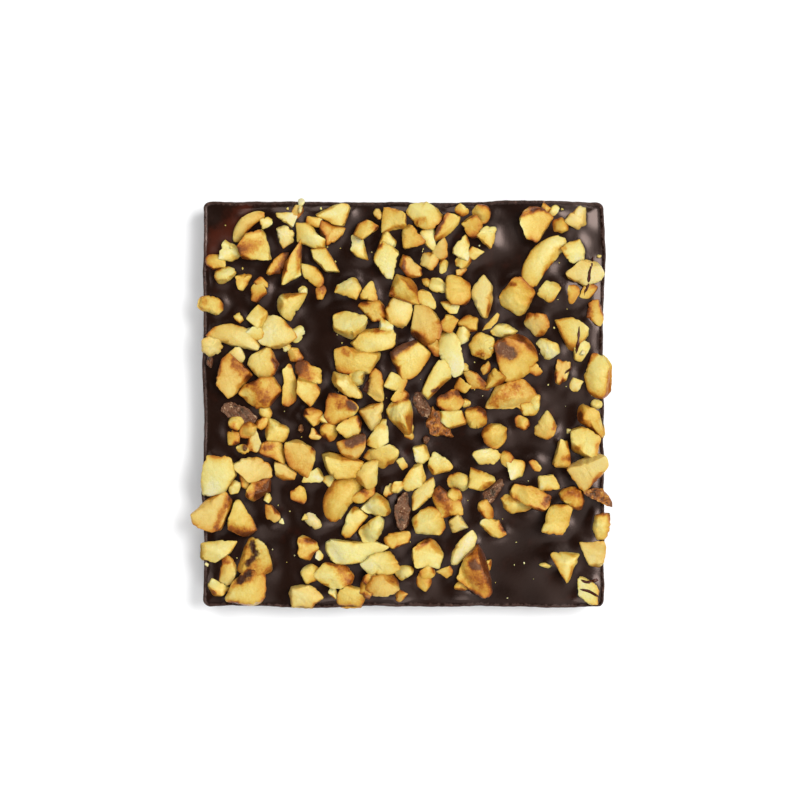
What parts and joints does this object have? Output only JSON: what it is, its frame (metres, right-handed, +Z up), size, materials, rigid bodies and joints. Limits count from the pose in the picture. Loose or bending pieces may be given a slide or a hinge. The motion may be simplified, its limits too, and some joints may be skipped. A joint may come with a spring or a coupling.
{
  "type": "chocolate bar with chopped nuts",
  "caption": "Square slab of dark chocolate with chopped roasted hazelnuts set into its top, lying on its plain flat underside.",
  "frame": {"origin": "middle of the flat underside", "axes": "+Z up through the nut side, +X to the right and +Y to the top as seen from above"},
  "size_m": [0.0953, 0.0924, 0.0138],
  "materials": {
    "chocolate": "soft sheen",
    "hazelnut": "matte",
    "hazelnut_skin": "matte"
  },
  "bodies": {
    "root": {"hazelnut_bar": "chocolate"}
  },
  "joints": []
}
